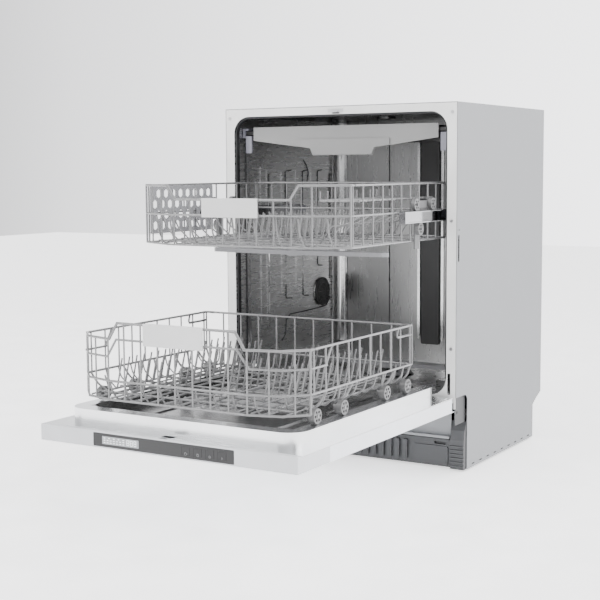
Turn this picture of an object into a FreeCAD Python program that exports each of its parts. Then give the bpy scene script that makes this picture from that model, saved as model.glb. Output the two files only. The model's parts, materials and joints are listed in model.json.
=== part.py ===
import FreeCAD, Part
import Sketcher
import math
import os

# Built-in dishwasher, door open, both racks drawn out.
# Frame: +X to the right when facing the open machine, the front faces -Y, +Z up.
# Every size below is measured from the front frame; the last lines move the origin to the floor
# under the middle of the outline. Millimetres.

os.makedirs("parts", exist_ok=True)
doc = FreeCAD.newDocument("dishwasher")
V = FreeCAD.Vector

SIZES = {
    "cabinet_half_width": 299.0,
    "cabinet_height": 815.0,
    "cabinet_depth": 520.0,
    "sheet": 1.2,
    "frame_bottom": 150.0,
    "opening_half_width": 275.5,
    "opening_bottom": 178.0,
    "opening_top": 796.0,
    "opening_radius": 40.0,
    "tub_half_width": 275.0,
    "tub_floor_level": 168.0,
    "tub_back_face": 493.0,
    "base_height": 108.0,
    "base_front": 62.0,
    "base_rear": 467.0,
    "side_step": 111.0,
    "hinge_back": 14.5,
    "hinge_level": 165.0,
    "door_half_width": 297.0,
    "door_end": 659.0,
    "door_under": 145.0,
    "door_flange": 177.0,
    "fascia_depth": 112.0,
    "rim_top": 206.0,
    "rim_half_width": 270.0,
    "rim_front": 616.0,
    "rim_back": 28.0,
    "rim_band": 33.0,
    "rim_radius": 42.0,
    "recess_level": 181.0,
    "button_length": 8.0,
    "button_pitch": 27.0,
    "rim_wire": 2.6,
    "thin_wire": 1.7,
    "lower_wheel_radius": 14.5,
    "lower_wheel_level": 221.5,
    "lower_wheel_width": 12.0,
    "upper_wheel_radius": 13.0,
    "upper_wheel_width": 8.0,
    "stub_radius": 3.0,
    "running_gap": 0.05,
    "rail_under": 561.0,
    "rail_over": 585.0,
    "arm_thickness": 9.0,
    "upper_arm_level": 491.0,
    "lower_arm_level": 191.0,
}
sheet = doc.addObject("Spreadsheet::Sheet", "dims")
for row, (alias, value) in enumerate(SIZES.items(), start=1):
    sheet.set("A%d" % row, alias)
    sheet.set("B%d" % row, str(value))
    sheet.setAlias("B%d" % row, alias)
doc.recompute()

HALF = SIZES["cabinet_half_width"]
TOP = SIZES["cabinet_height"]
DEEP = SIZES["cabinet_depth"]
THIN = SIZES["sheet"]
TUB = SIZES["tub_half_width"]
FLOOR = SIZES["tub_floor_level"]
BACK = SIZES["tub_back_face"]
HINGE_Y = -SIZES["hinge_back"]
HINGE_Z = SIZES["hinge_level"]
RIM_WIRE = SIZES["rim_wire"]
THIN_WIRE = SIZES["thin_wire"]
GAP = SIZES["running_gap"]

nodes = []


# ---------------------------------------------------------------- profiles
def corners(points):
    """Closed loop of straight edges."""
    vectors = [V(u, v, 0) for u, v in points]
    return [Part.LineSegment(a, b) for a, b in zip(vectors, vectors[1:] + vectors[:1])]


def rect(u0, v0, u1, v1):
    return corners([(u0, v0), (u1, v0), (u1, v1), (u0, v1)])


def rounded(u0, v0, u1, v1, r):
    """Rectangle with four equal corner radii, drawn anticlockwise."""
    loop = []
    turns = [(u1 - r, v0 + r, -90), (u1 - r, v1 - r, 0), (u0 + r, v1 - r, 90), (u0 + r, v0 + r, 180)]
    ends = []
    for cu, cv, start in turns:
        a = math.radians(start)
        circle = Part.Circle(V(cu, cv, 0), V(0, 0, 1), r)
        arc = Part.ArcOfCircle(circle, a, a + math.pi / 2)
        first = V(cu + r * math.cos(a), cv + r * math.sin(a), 0)
        last = V(cu + r * math.cos(a + math.pi / 2), cv + r * math.sin(a + math.pi / 2), 0)
        ends.append((first, last, arc))
    for i, (first, last, arc) in enumerate(ends):
        loop.append(arc)
        loop.append(Part.LineSegment(last, ends[(i + 1) % 4][0]))
    return loop


def disc(u, v, r):
    return [Part.Circle(V(u, v, 0), V(0, 0, 1), r)]


# ---------------------------------------------------------------- sketched bodies
class Piece:
    """One sub-part built from sketches on its own origin planes."""

    ROLES = {"XY": "XY_Plane", "XZ": "XZ_Plane", "YZ": "YZ_Plane"}

    def __init__(self, label):
        self.body = doc.addObject("PartDesign::Body", label)
        self.body.Label = label
        self.count = 0
        nodes.append(self.body)

    def sketch(self, plane, offset, loops):
        self.count += 1
        sk = self.body.newObject("Sketcher::SketchObject", "%s_sketch%d" % (self.body.Name, self.count))
        role = self.ROLES[plane]
        origin = [f for f in self.body.Origin.OriginFeatures if f.Role == role][0]
        sk.AttachmentSupport = [(origin, "")]
        sk.MapMode = "FlatFace"
        sk.AttachmentOffset = FreeCAD.Placement(V(0, 0, offset), FreeCAD.Rotation())
        for loop in loops:
            base = sk.GeometryCount
            sk.addGeometry(loop, False)
            n = len(loop)
            for i in range(n if n > 1 else 0):
                sk.addConstraint(Sketcher.Constraint("Coincident", base + i, 2, base + (i + 1) % n, 1))
        return sk

    def _extrude(self, kind, plane, low, high, loops, alias):
        # a sketch on XZ looks along -Y, so its offset is measured the other way
        offset = -high if plane == "XZ" else low
        sk = self.sketch(plane, offset, loops)
        feature = self.body.newObject(kind, "%s_%s%d" % (self.body.Name, kind[-3:].lower(), self.count))
        feature.Profile = sk
        feature.Length = high - low
        if alias:
            feature.setExpression("Length", alias)
        return feature

    def pad(self, plane, low, high, *loops, alias=None):
        self._extrude("PartDesign::Pad", plane, low, high, loops, alias)
        return self

    def cut(self, plane, low, high, *loops, alias=None):
        doc.recompute()
        before = self.body.Shape.Volume
        feature = self._extrude("PartDesign::Pocket", plane, low, high, loops, alias)
        feature.Reversed = True
        doc.recompute()
        after = self.body.Shape.Volume
        if after >= before - 1e-3:
            raise RuntimeError("pocket %s removed nothing" % feature.Name)
        return self

    def revolve(self, plane, offset, loop, axis, angle=360.0):
        sk = self.sketch(plane, offset, [loop])
        turn = self.body.newObject("PartDesign::Revolution", "%s_turn%d" % (self.body.Name, self.count))
        turn.Profile = sk
        turn.ReferenceAxis = (sk, [axis])
        turn.Angle = angle
        return self

    def move(self, x, y, z, aliases=None):
        self.body.Placement = FreeCAD.Placement(V(x, y, z), FreeCAD.Rotation())
        for axis, alias in (aliases or {}).items():
            self.body.setExpression(".Placement.Base.%s" % axis, alias)
        return self


# ---------------------------------------------------------------- primitives
def box(name, low, high, aliases=None):
    b = doc.addObject("Part::Box", name)
    b.Length = high[0] - low[0]
    b.Width = high[1] - low[1]
    b.Height = high[2] - low[2]
    b.Placement = FreeCAD.Placement(V(*low), FreeCAD.Rotation())
    for key, alias in (aliases or {}).items():
        b.setExpression(key, alias)
    return b


def rod(name, start, end, r, alias=None):
    """Round bar between two points."""
    a, b = V(*start), V(*end)
    c = doc.addObject("Part::Cylinder", name)
    c.Radius = r
    c.Height = (b - a).Length
    c.Placement = FreeCAD.Placement(a, FreeCAD.Rotation(V(0, 0, 1), b - a))
    if alias:
        c.setExpression("Radius", alias)
    return c


def fused(label, parts):
    f = doc.addObject("Part::MultiFuse", label)
    f.Shapes = parts
    f.Label = label
    return f


def less(label, base, tools):
    c = doc.addObject("Part::Cut", label)
    c.Base = base
    c.Tool = tools[0] if len(tools) == 1 else fused(label + "_tools", tools)
    c.Label = label
    return c


def group(label, parts):
    g = doc.addObject("Part::Compound", label)
    g.Links = parts
    g.Label = label
    return g


def keep(obj):
    nodes.append(obj)
    return obj


def own_shape(label, shape):
    f = doc.addObject("Part::Feature", label)
    f.Shape = shape
    f.Label = label
    return keep(f)


# ---------------------------------------------------------------- wire work
def bar(start, end, r=THIN_WIRE):
    a, b = V(*start), V(*end)
    return Part.makeCylinder(r, (b - a).Length, a, b - a)


def bent(points, r=RIM_WIRE):
    """One wire bent through points, with mitred bends."""
    spine = Part.makePolygon([V(*p) for p in points])
    first = V(*points[1]) - V(*points[0])
    section = Part.Wire(Part.makeCircle(r, V(*points[0]), first))
    sweep = Part.BRepOffsetAPI.MakePipeShell(spine)
    sweep.setTransitionMode(1)
    sweep.add(section, False, False)
    sweep.build()
    sweep.makeSolid()
    return [sweep.shape()]


def weld(pieces):
    solid = pieces[0].fuse(pieces[1:])
    return solid.Solids[0] if len(solid.Solids) == 1 else Part.makeCompound(solid.Solids)


def split(solid, cuts):
    """The solid cut across X at each value, with 0.3 mm taken out at every cut."""
    edges = [-400.0] + list(cuts) + [400.0]
    parts = []
    for low, high in zip(edges, edges[1:]):
        slab = Part.makeBox(high - low - 0.3, 1400, 900, V(low + 0.15, -800, 0))
        parts += solid.common(slab).Solids
    return parts


def steps(low, high, count):
    return [low + (high - low) * i / (count - 1) for i in range(count)]


# ================================================================ cabinet base
FEET = [(-250, 95), (250, 95), (-250, 350), (250, 350)]
base_parts = box("base_block", (-296, 62, 4), (296, 467, 112), {"Height": "dims.base_height"})
base_hollow = box("base_hollow", (-292.5, 65.5, 8), (292.5, 463.5, 120))
foot_holes = [rod("foot_hole%d" % i, (x, y, 0), (x, y, 20), 5.6) for i, (x, y) in enumerate(FEET)]
keep(less("base_tray", base_parts, [base_hollow] + foot_holes))

plinth = Piece("plinth_grille")
plinth.pad("XZ", 56, 61, rounded(-262, 6, 262, 68, 5))
plinth.pad("XZ", 50, 57, *[rounded(x - 6, 14, x + 6, 60, 3) for x in steps(-230, 150, 20)])
plinth.cut("XZ", 49, 62, rounded(222, 56, 250, 62, 2.5))
plinth.pad("XZ", 54, 57, rounded(170, 10, 256, 52, 4))

cover = Piece("base_cover_sheet")
cover.pad("YZ", -262, 262, corners([(46, 72), (47.5, 72), (47.5, 76), (60, 76), (60, 134), (58.5, 134),
                                    (58.5, 77.5), (46, 77.5)]))

for side, sign in (("left", -1), ("right", 1)):
    panel = Piece("side_panel_%s" % side)
    low = sign * HALF if sign < 0 else HALF - THIN
    outline = [(0, 815), (0, 175), (50, 175), (57, 172), (62, 165), (62, 4), (467, 4), (467, 85),
               (486, 96), (520, 111), (520, 815)]
    panel.pad("YZ", low, low + THIN, corners(outline[::-1]), alias="dims.sheet")
    panel.cut("YZ", low - 1, low + THIN + 1, rounded(7, 472, 14, 530, 3))
    panel.cut("YZ", low - 1, low + THIN + 1, disc(11, 541, 2.2))
    panel.cut("YZ", low - 1, low + THIN + 1, *[rounded(y, 10, y + 14, 13, 1.2) for y in steps(90, 430, 9)])

roof = box("top_sheet", (-297.5, 1.5, 813.5), (297.5, 518.5, 815))
rear = less("rear_cover", box("rear_sheet", (-297.5, 518.5, 113), (297.5, 520, 813.3)),
            [rod("rear_hole%d" % i, (x, 510, z), (x, 530, z), 3.0)
             for i, (x, z) in enumerate([(-270, 140), (270, 140), (270, 780), (-270, 780)])])
keep(group("top_and_rear_sheets", [roof, rear]))

frame = Piece("front_frame")
frame.pad("XZ", 0, THIN, rounded(-297.5, 150, 297.5, 813.3, 1.5),
          rounded(-275.5, 178, 275.5, 796, 40), alias="dims.sheet")
for sign in (-1, 1):
    x0, x1 = sorted((sign * 278, sign * 285.5))
    frame.cut("XZ", -1, 3, rounded(x0, 181, x1, 228, 2))
    frame.cut("XZ", -1, 3, *[disc(sign * 287, z, 2.4) for z in (282.5, 560, 793)])
frame.cut("XZ", -1, 3, rounded(-9, 797.3, 10, 800, 1.2))
frame.cut("XZ", -1, 3, rect(-293.2, 149, -287.8, 163.2), rect(287.8, 149, 293.2, 163.2))

# ================================================================ wash tub
WALL_OUT = TUB + THIN
for side, sign in (("left", -1), ("right", 1)):
    wall = Piece("tub_wall_%s" % side)
    x0 = -WALL_OUT if sign < 0 else TUB
    wall.pad("YZ", x0, x0 + THIN, rect(1.6, 166.5, 493, 798), alias="dims.sheet")
    e0, e1 = sorted((sign * (TUB - 1.0), sign * (TUB + 0.1)))
    # pressed panel, water grooves and wall vent surround
    wall.pad("YZ", e0, e1, rounded(110, 250, 470, 708, 40), rounded(114, 254, 466, 704, 36))
    for y, foot in ((137, 280), (206, 360), (275, 366), (350, 440)):
        wall.pad("YZ", e0, e1, corners([(y, foot), (y + 4, foot), (y + 4, 666), (y + 30, 666),
                                        (y + 30, 671), (y, 671)]))
    v0, v1 = sorted((sign * (TUB - 3.0), sign * (TUB + 0.1)))
    wall.pad("YZ", v0, v1, disc(402, 350, 34), disc(402, 350, 25))
    wall.pad("YZ", v0, v1, disc(402, 350, 9))

ceiling = Piece("tub_ceiling")
ceiling.pad("XY", 796.8, 798, rect(-274.7, 1.6, 274.7, 493))
ceiling.pad("XY", 793, 797, disc(0, 250, 22), disc(0, 250, 16))

back = Piece("tub_back")
back.pad("XZ", BACK + 0.2, BACK + 1.4, rect(-276.2, 166.5, 276.2, 798))
back.pad("XZ", BACK - 1.0, BACK + 0.3, rect(-108, 190, -106, 780))
back.pad("XZ", BACK - 1.0, BACK + 0.3, *[corners([(x, 200), (x + 22, 200), (x + 22, 204), (x + 4, 204),
                                                   (x + 4, 760), (x, 760)]) for x in (-60, 3, 120)])

floor_plate = box("floor_plate", (-274.7, 1.6, 166.5), (274.7, 492.9, 168))
sump_well = rod("sump_well", (0, 265, 160), (0, 265, 175), 62)
salt_well = rod("salt_well", (-165, 300, 160), (-165, 300, 175), 31)
floor_sheet = less("floor_sheet", floor_plate, [sump_well, salt_well])
tracks = []
for sign in (-1, 1):
    x0, x1 = sorted((sign * 236, sign * 274.5))
    tracks.append(box("rack_track%d" % (sign + 1), (x0, 31, 168.1), (x1, 492, 206)))
keep(group("tub_floor", [floor_sheet] + tracks))

gasket = Piece("door_gasket")
gasket.pad("XZ", 4, 16, rounded(-274.6, 170, 274.6, 795.6, 39), rounded(-271.0, 176, 271.0, 791.8, 35))
gasket.cut("XZ", 3, 17, rect(-280, 160, 280, 215))

# ================================================================ water parts under the tub
bowl = less("sump_bowl", rod("bowl_out", (0, 265, 118), (0, 265, 168), 61.5),
            [rod("bowl_in", (0, 265, 122), (0, 265, 170), 57)])
post = rod("arm_post", (0, 265, 121.9), (0, 265, 198.5), 6.0)
softener = less("softener", rod("softener_out", (-165, 300, 116), (-165, 300, 168), 30.5),
                [rod("softener_in", (-165, 300, 119), (-165, 300, 170), 26)])
pump_body = rod("wash_pump", (65, 230, 84), (190, 230, 84), 33)
motor = rod("drain_pump", (-60, 180, 70), (-60, 120, 70), 26)
link = rod("pump_link", (30, 240, 110), (80, 232, 96), 12)
keep(group("pump_set", [fused("sump_and_post", [bowl, post]), softener, fused("pump", [pump_body, link]), motor]))

keep(box("ballast_block", (-200, 370, 8.3), (160, 460, 58)))

inlet_body = box("inlet_valve_body", (180, 467.1, 30), (220, 492, 70))
thread = rod("inlet_thread", (200, 491, 50), (200, 509, 50), 13.1)
bore = rod("inlet_bore", (200, 480, 50), (200, 515, 50), 6.0)
spigot = fused("drain_solid", [rod("drain_spigot", (-200, 467.1, 50), (-200, 505, 50), 10.0),
                               rod("drain_flange", (-200, 467.1, 50), (-200, 475, 50), 13.0)])
spigot_bore = rod("drain_bore", (-200, 470, 50), (-200, 515, 50), 7.5)
gland = rod("cord_gland", (0, 467.1, 45), (0, 480, 45), 11.0)
keep(group("inlet_fittings", [
    less("inlet_valve", fused("inlet_solid", [inlet_body, thread]), [bore]),
    less("drain_outlet", spigot, [spigot_bore]),
    gland,
]))

feet = []
for i, (x, y) in enumerate(FEET):
    pad_disc = rod("foot_pad%d" % i, (x, y, 0), (x, y, 3.6), 21)
    stem = rod("foot_stem%d" % i, (x, y, 3), (x, y, 60), 5)
    feet.append(fused("foot%d" % i, [pad_disc, stem]))
keep(group("levelling_feet", feet))

hinge_bits = []
for sign in (-1, 1):
    tag = "r" if sign > 0 else "l"
    x0, x1 = sorted((sign * 264, sign * 297))
    post_face = Piece("corner_post_" + tag)
    post_face.pad("YZ", x0, x1, corners([(48, 4.2), (61.7, 4.2), (61.7, 112), (52, 92), (48, 70)]))
    nodes.remove(post_face.body)
    y_ribs = [box("post_rib_%s%d" % (tag, i), (x0, 45.5, 10 + 9 * i), (x1, 48.2, 13 + 9 * i)) for i in range(6)]
    post_solid = fused("post_%s" % tag, [post_face.body] + y_ribs)
    p0, p1 = sorted((sign * 292, sign * 294))
    plate = less("hinge_plate_" + tag, box("hinge_sheet_" + tag, (p0, 8, 112.4), (p1, 60, 174)),
                 [rod("plate_hole_" + tag, (sign * 290, 17, 140), (sign * 296, 17, 140), 3)])
    a0, a1 = sorted((sign * 288.5, sign * 292.5))
    arm = Piece("pivot_arm_" + tag)
    nodes.remove(arm.body)
    arm.pad("YZ", a0, a1, corners([(-9, 150.5), (24, 150.5), (24, 162.5), (-9, 162.5), (-10.5, 169.5), (-18.5, 169.5),
                                   (-19.5, 160), (-16, 154)]))
    p0, p1 = sorted((sign * 279, sign * 289))
    pin = rod("pivot_pin_" + tag, (p0, HINGE_Y, HINGE_Z), (p1, HINGE_Y, HINGE_Z), SIZES["stub_radius"],
              "dims.stub_radius")
    hinge_bits += [post_solid, fused("pivot_" + tag, [plate, arm.body, pin])]
keep(group("hinge_brackets", hinge_bits))

fittings = []
for sign in (-1, 1):
    for z in (282.5, 560, 793):
        head = rod("frame_screw%d_%d" % (sign + 1, z), (sign * 287, -1.8, z), (sign * 287, -0.05, z), 3.6)
        shank = rod("frame_shank%d_%d" % (sign + 1, z), (sign * 287, -0.3, z), (sign * 287, 8, z), 2.2)
        fittings.append(fused("screw%d_%d" % (sign + 1, z), [head, shank]))
strike = box("strike_plate", (-19, -1.5, 800.5), (19, -0.05, 808))
fittings.append(less("latch_striker", fused("strike", [strike, box("strike_lip", (-8, -8, 800.5), (8, -1.4, 803))]),
                     [box("strike_slot", (-4, -6, 799), (4, -3, 812))]))
keep(group("frame_fittings", fittings))

rails = []
for sign in (-1, 1):
    x0, x1 = sorted((sign * 259.2, sign * 273.8))
    rails.append(box("rack_tongue%d" % (sign + 1), (x0, 47, 565), (x1, 300, 581)))
    t0, t1 = sorted((sign * 258, sign * 273.8))
    rails.append(less("tray_rail%d" % (sign + 1), box("tray_bar%d" % (sign + 1), (t0, 34.2, 748), (t1, 480, 770)),
                      [box("tray_groove%d" % (sign + 1), (min(sign * 252, sign * 266), 20, 753),
                           (max(sign * 252, sign * 266), 490, 765))]))
    c0, c1 = sorted((sign * 246, sign * 262))
    rails.append(box("tray_clip%d" % (sign + 1), (c0, 29.5, 712), (c1, 34.1, 752)))
keep(group("wall_rails", rails))

# ================================================================ turning parts in the tub floor
filter_cup = Piece("filter_cup")
filter_cup.revolve("XZ", -265, corners([(8.5, 126), (40, 126), (40, 171), (56, 171), (56, 174), (12, 174), (12, 168),
                                        (36.5, 168), (36.5, 129.5), (8.5, 129.5)]), "V_Axis")
filter_cup.pad("XY", 173, 181, rounded(26, 261, 52, 269, 3))

salt_cap = Piece("salt_cap")
salt_cap.pad("XY", 168.4, 173, disc(-165, 300, 33))
salt_cap.pad("XY", 160, 168.6, disc(-165, 300, 25.5))
salt_cap.pad("XY", 172.8, 181, rounded(-187, 296, -143, 304, 3.5))


def spray_arm(label, centre_y, level, reach):
    """Flat two-ended arm with a hub below or above and a row of jets."""
    arm = Piece(label)
    tip = 17
    arm.pad("XY", level, level + SIZES["arm_thickness"],
            corners([(-reach + 8, centre_y - tip + 6), (-60, centre_y - 24), (60, centre_y - 24),
                     (reach - 8, centre_y - tip + 6), (reach, centre_y - 4), (reach, centre_y + 4),
                     (reach - 8, centre_y + tip - 6), (60, centre_y + 24), (-60, centre_y + 24),
                     (-reach + 8, centre_y + tip - 6), (-reach, centre_y + 4), (-reach, centre_y - 4)]),
            alias="dims.arm_thickness")
    return arm


lower_arm = spray_arm("lower_spray_arm", 265, SIZES["lower_arm_level"], 215)
lower_arm.pad("XY", 186, 202.5, disc(0, 265, 26))
lower_arm.cut("XY", 180, 198.8, disc(0, 265, 6.0 + GAP))
for r in (70, 110, 150, 190):
    lower_arm.cut("XY", 197, 206, disc(r, 265, 2.2), disc(-r, 261, 2.2))

# ================================================================ door
outer = Piece("door_outer_panel")
outer.pad("XY", 145, 146.2, rect(-297, -546.6, 297, -3))
for sign in (-1, 1):
    x0, x1 = sorted((sign * 295.8, sign * 297))
    outer.pad("XY", 146.1, 174.8, rect(x0, -546.6, x1, -16))
outer.pad("XY", 146.1, 160, rect(-262, -5, 262, -3))
for x, y in ((-230, -120), (230, -120), (-230, -470), (230, -470)):
    outer.cut("XY", 140, 150, disc(x, y, 2.5))

liner = Piece("door_liner")
liner.pad("XY", 175.4, 177, rect(-297, -646, 297, -13))
liner.pad("XY", 176.9, 206, rounded(-270, -616, 270, -28, 42))
liner.cut("XY", 181, 210, rounded(-237, -583, 237, -61, 28))
liner.cut("XY", 170, 204.2, rounded(-268, -614, 268, -30, 40), rounded(-239, -585, 239, -59, 30))
liner.pad("XY", 180.8, 184, rounded(-150, -560, 150, -340, 30), rounded(-146, -556, 146, -344, 26))
liner.pad("XY", 180.8, 183, rounded(150, -320, 205, -100, 12), rounded(153, -317, 202, -103, 9))
liner.cut("XY", 170, 190, rect(-132, -312, 72, -152))
liner.cut("XY", 170, 180, rounded(-14, -643, 14, -628, 3))
liner.cut("XY", 170, 180, rect(-294.4, -36, -287, -12), rect(287, -36, 294.4, -12))
liner.cut("XY", 170, 180, *[disc(s * 284, y, 1.9) for s in (-1, 1) for y in (-600, -520, -430, -330, -230, -130)])

fascia = Piece("control_fascia")
fascia.pad("XY", 145, 175.1, rect(-297, -659, 297, -547))
fascia.pad("XY", 175, 177.2, rect(-297, -659, 297, -646.6))
fascia.cut("XY", 147, 180, rect(-294.5, -645.4, 294.5, -549.5))
fascia.cut("XZ", -660, -656.5, rounded(-163.5, 147.6, 163.5, 174.2, 2))
fascia.cut("XY", 167, 180, rect(-10, -655.5, 10, -646.5))
button_xs = [56 + SIZES["button_pitch"] * i for i in range(4)]
fascia.cut("XZ", -658, -640, *[rounded(x - 9.4, 151.2, x + 9.4, 169.4, 2) for x in button_xs])

window = Piece("display_window")
window.pad("XZ", -658.9, -656.6, rounded(-163.2, 147.9, 163.2, 173.9, 1.7))
window.cut("XZ", -660, -655, *[rounded(x - 9.4, 151.2, x + 9.4, 169.4, 2) for x in button_xs])

for number, x in enumerate(button_xs, start=1):
    key = Piece("touch_key_%d" % number)
    key.pad("XZ", -659, -651, rounded(-9, -8.8, 9, 8.8, 1.6), alias="dims.button_length")
    key.move(x, 0, 160.3)

dispenser = Piece("dispenser_body")
dispenser.pad("XY", 160, 183.9, rounded(-131.5, -311.5, 71.5, -152.5, 8))
dispenser.cut("XY", 168, 190, rounded(-60, -298, 14, -208, 8))
dispenser.cut("XY", 175, 190, disc(45, -205, 16))
dispenser.cut("XY", 180.0, 190, rounded(-122, -300, 18, -206, 3))

lid = Piece("dispenser_lid")
lid.pad("XY", 180.4, 183.4, rounded(-64.5, -299.5, 17.5, -206.5, 3))
lid.pad("XY", 183.3, 183.9, rounded(-52, -262, -44, -244, 2))

arms = []
for sign in (-1, 1):
    x0, x1 = sorted((sign * 280, sign * 283.5))
    tag = "r" if sign > 0 else "l"
    blade = Piece("hinge_blade_" + tag)
    nodes.remove(blade.body)
    blade.pad("YZ", x0, x1, corners([(-120, 150), (-6, 150), (-3, 155), (-3, 172), (-14, 175), (-120, 175)]))
    blade.cut("YZ", x0 - 1, x1 + 1, disc(HINGE_Y, HINGE_Z, SIZES["stub_radius"] + GAP))
    arms.append(blade.body)
keep(group("hinge_arms", arms))

# ================================================================ upper rack
U_FLOOR, U_MID, U_RIM = 522.0, 583.0, 642.0
U_BACK, U_CORNER, U_FRONT, U_SIDE = 54.0, -375.0, -421.0, 246.0
upper_walls = []
front = bent([(-U_SIDE, U_CORNER, U_RIM), (-157, U_FRONT, U_RIM), (-137, U_FRONT, 614), (137, U_FRONT, 614),
              (157, U_FRONT, U_RIM), (U_SIDE, U_CORNER, U_RIM)])
front += bent([(-U_SIDE, U_CORNER, U_MID), (-157, U_FRONT, U_MID), (157, U_FRONT, U_MID), (U_SIDE, U_CORNER, U_MID)], 2.2)
front += bent([(-U_SIDE, U_CORNER, U_FLOOR), (-157, U_FRONT, U_FLOOR), (157, U_FRONT, U_FLOOR),
               (U_SIDE, U_CORNER, U_FLOOR)], 2.2)
for x in steps(-220, 220, 12):
    y = U_FRONT if abs(x) <= 157 else U_FRONT + (abs(x) - 157) * (U_CORNER - U_FRONT) / (U_SIDE - 157)
    top = min(max(614, 614 + 1.4 * (abs(x) - 137)), U_RIM)
    front.append(bar((x, y, U_FLOOR), (x, y, top), THIN_WIRE))
for x in (-U_SIDE, U_SIDE):
    front.append(bar((x, U_CORNER, U_FLOOR), (x, U_CORNER, U_RIM), 2.2))
upper_walls += split(weld(front), (-157, 157))
rear_wires = [bar((-U_SIDE, U_BACK, z), (U_SIDE, U_BACK, z), 2.2) for z in (U_FLOOR, U_MID, U_RIM)]
rear_wires += [bar((x, U_BACK, U_FLOOR), (x, U_BACK, U_RIM), THIN_WIRE) for x in steps(-U_SIDE, U_SIDE, 13)]
upper_walls.append(weld(rear_wires))
for sign in (-1, 1):
    side = [bar((sign * U_SIDE, U_CORNER + 6, z), (sign * U_SIDE, U_BACK - 5, z), 2.2) for z in (U_FLOOR, U_MID, U_RIM)]
    side += [bar((sign * U_SIDE, y, U_FLOOR), (sign * U_SIDE, y, U_RIM), THIN_WIRE)
             for y in steps(U_CORNER + 8, U_BACK - 7, 11)]
    upper_walls.append(weld(side))
deck = [bar((x, U_FRONT + 8 if abs(x) < 150 else U_CORNER + 10, U_FLOOR + 1), (x, U_BACK - 6, U_FLOOR + 1), 1.8)
        for x in steps(-228, 228, 15)]
deck += [bar((-230, y, U_FLOOR + 3), (230, y, U_FLOOR + 3), 2.2) for y in steps(-355, 45, 6)]
upper_walls.append(weld(deck))
for x in (-70, -20, 40, 100):
    row = [bar((x, y, U_FLOOR + 7.2), (x + 10, y, U_FLOOR + 60), 1.5) for y in steps(-330, 10, 15)]
    row.append(bar((x, -340, U_FLOOR + 7.2), (x, 20, U_FLOOR + 7.2), 1.8))
    upper_walls.append(weld(row))
own_shape("upper_basket", Part.makeCompound(upper_walls))

grip = Piece("upper_handle")
grip.pad("XY", 579, 617, rounded(-66, -430, 66, -424.2, 2))
grip.pad("XY", 611, 617, rect(-64, -425, 64, -417.5))
grip.cut("XY", 608, 618, *[rect(x - 2.4, -424, x + 2.4, -416) for x in steps(-220, 220, 12) if abs(x) < 66])
grip.cut("XZ", -424.3, -416, rect(-137, 611, 137, 616.9))

brackets = []
for sign in (-1, 1):
    tag = "r" if sign > 0 else "l"
    x0, x1 = sorted((sign * 248.7, sign * 252.2))
    plate = Piece("roller_plate_" + tag)
    nodes.remove(plate.body)
    plate.pad("YZ", x0, x1, corners([(-124, 606), (-124, 590), (-108, 590), (-108, 505), (-88, 505), (-88, 590),
                                     (-29, 590), (-29, 606)]))
    stubs = []
    for i, (y, z) in enumerate(((-116, 598.5), (-37, 598.5), (-98, 547.5))):
        stubs.append(rod("roller_stub_%s%d" % (tag, i), (sign * 252, y, z), (sign * 264, y, z), SIZES["stub_radius"],
                         "dims.stub_radius"))
    brackets.append(fused("roller_bracket_" + tag, [plate.body] + stubs))
feed = box("feed_pipe", (-9, -178, 508), (9, 50, 520))
pin = rod("feed_pin", (0, -165, 495.4), (0, -165, 512), 8.0)
brackets.append(fused("feed_line", [feed, pin]))
keep(group("upper_rack_fittings", brackets))

for side, sign in (("left", -1), ("right", 1)):
    for i, (y, z) in enumerate(((-116, 598.5), (-37, 598.5), (-98, 547.5)), start=1):
        wheel = Piece("roller_%s_%d" % (side, i))
        x0 = 253.0 if sign > 0 else -253.0 - SIZES["upper_wheel_width"]
        wheel.pad("YZ", x0, x0 + SIZES["upper_wheel_width"], disc(0, 0, SIZES["upper_wheel_radius"]),
                  disc(0, 0, SIZES["stub_radius"] + GAP), alias="dims.upper_wheel_width")
        outer_x = (258.5, 262) if sign > 0 else (-262, -258.5)
        wheel.cut("YZ", outer_x[0], outer_x[1], *[disc(7.6 * math.cos(a), 7.6 * math.sin(a), 2.3)
                                                  for a in [k * math.pi / 3 for k in range(6)]])
        wheel.move(0, y, z)

rail_sign = {"left": -1, "right": 1}
for side, sign in rail_sign.items():
    rail = Piece("rail_%s" % side)
    profile = [(256.2, 561), (268, 561), (268, 562.6), (257.8, 562.6), (257.8, 583.4), (268, 583.4), (268, 585), (256.2, 585)]
    loop = [(sign * x, z) for x, z in profile]
    rail.pad("XZ", -184, 268, corners(loop if sign > 0 else loop[::-1]))
    c0, c1 = sorted((sign * 254.5, sign * 269))
    rail.pad("XZ", -187, -172, rounded(c0, 559.8, c1, 586.2, 2.5))

upper_arm = spray_arm("upper_spray_arm", -165, SIZES["upper_arm_level"], 218)
upper_arm.pad("XY", 489, 505, disc(0, -165, 24))
upper_arm.cut("XY", 495, 520, disc(0, -165, 8 + GAP))
for r in (70, 110, 150, 190):
    upper_arm.cut("XY", 497, 506, disc(r, -165, 2.2), disc(-r, -169, 2.2))

# cup shelves: a moulded lattice standing on the left, a wire shelf lying on the right
lattice = Piece("cup_shelf_left")
cells = []
for row in range(4):
    for col in range(8):
        cy = -355 + 26 * col + (13 if row % 2 else 0)
        cz = 556 + 22.5 * row
        cells.append(corners([(cy - 9, cz - 5), (cy, cz - 11), (cy + 9, cz - 5), (cy + 9, cz + 5), (cy, cz + 11), (cy - 9, cz + 5)]))
lattice.pad("YZ", -241.5, -237.5, rounded(-369, 541.5, -145, 640, 4), *cells)
lattice.pad("XZ", -369, -145, disc(-239.5, 541.5, 2.4))

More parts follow.
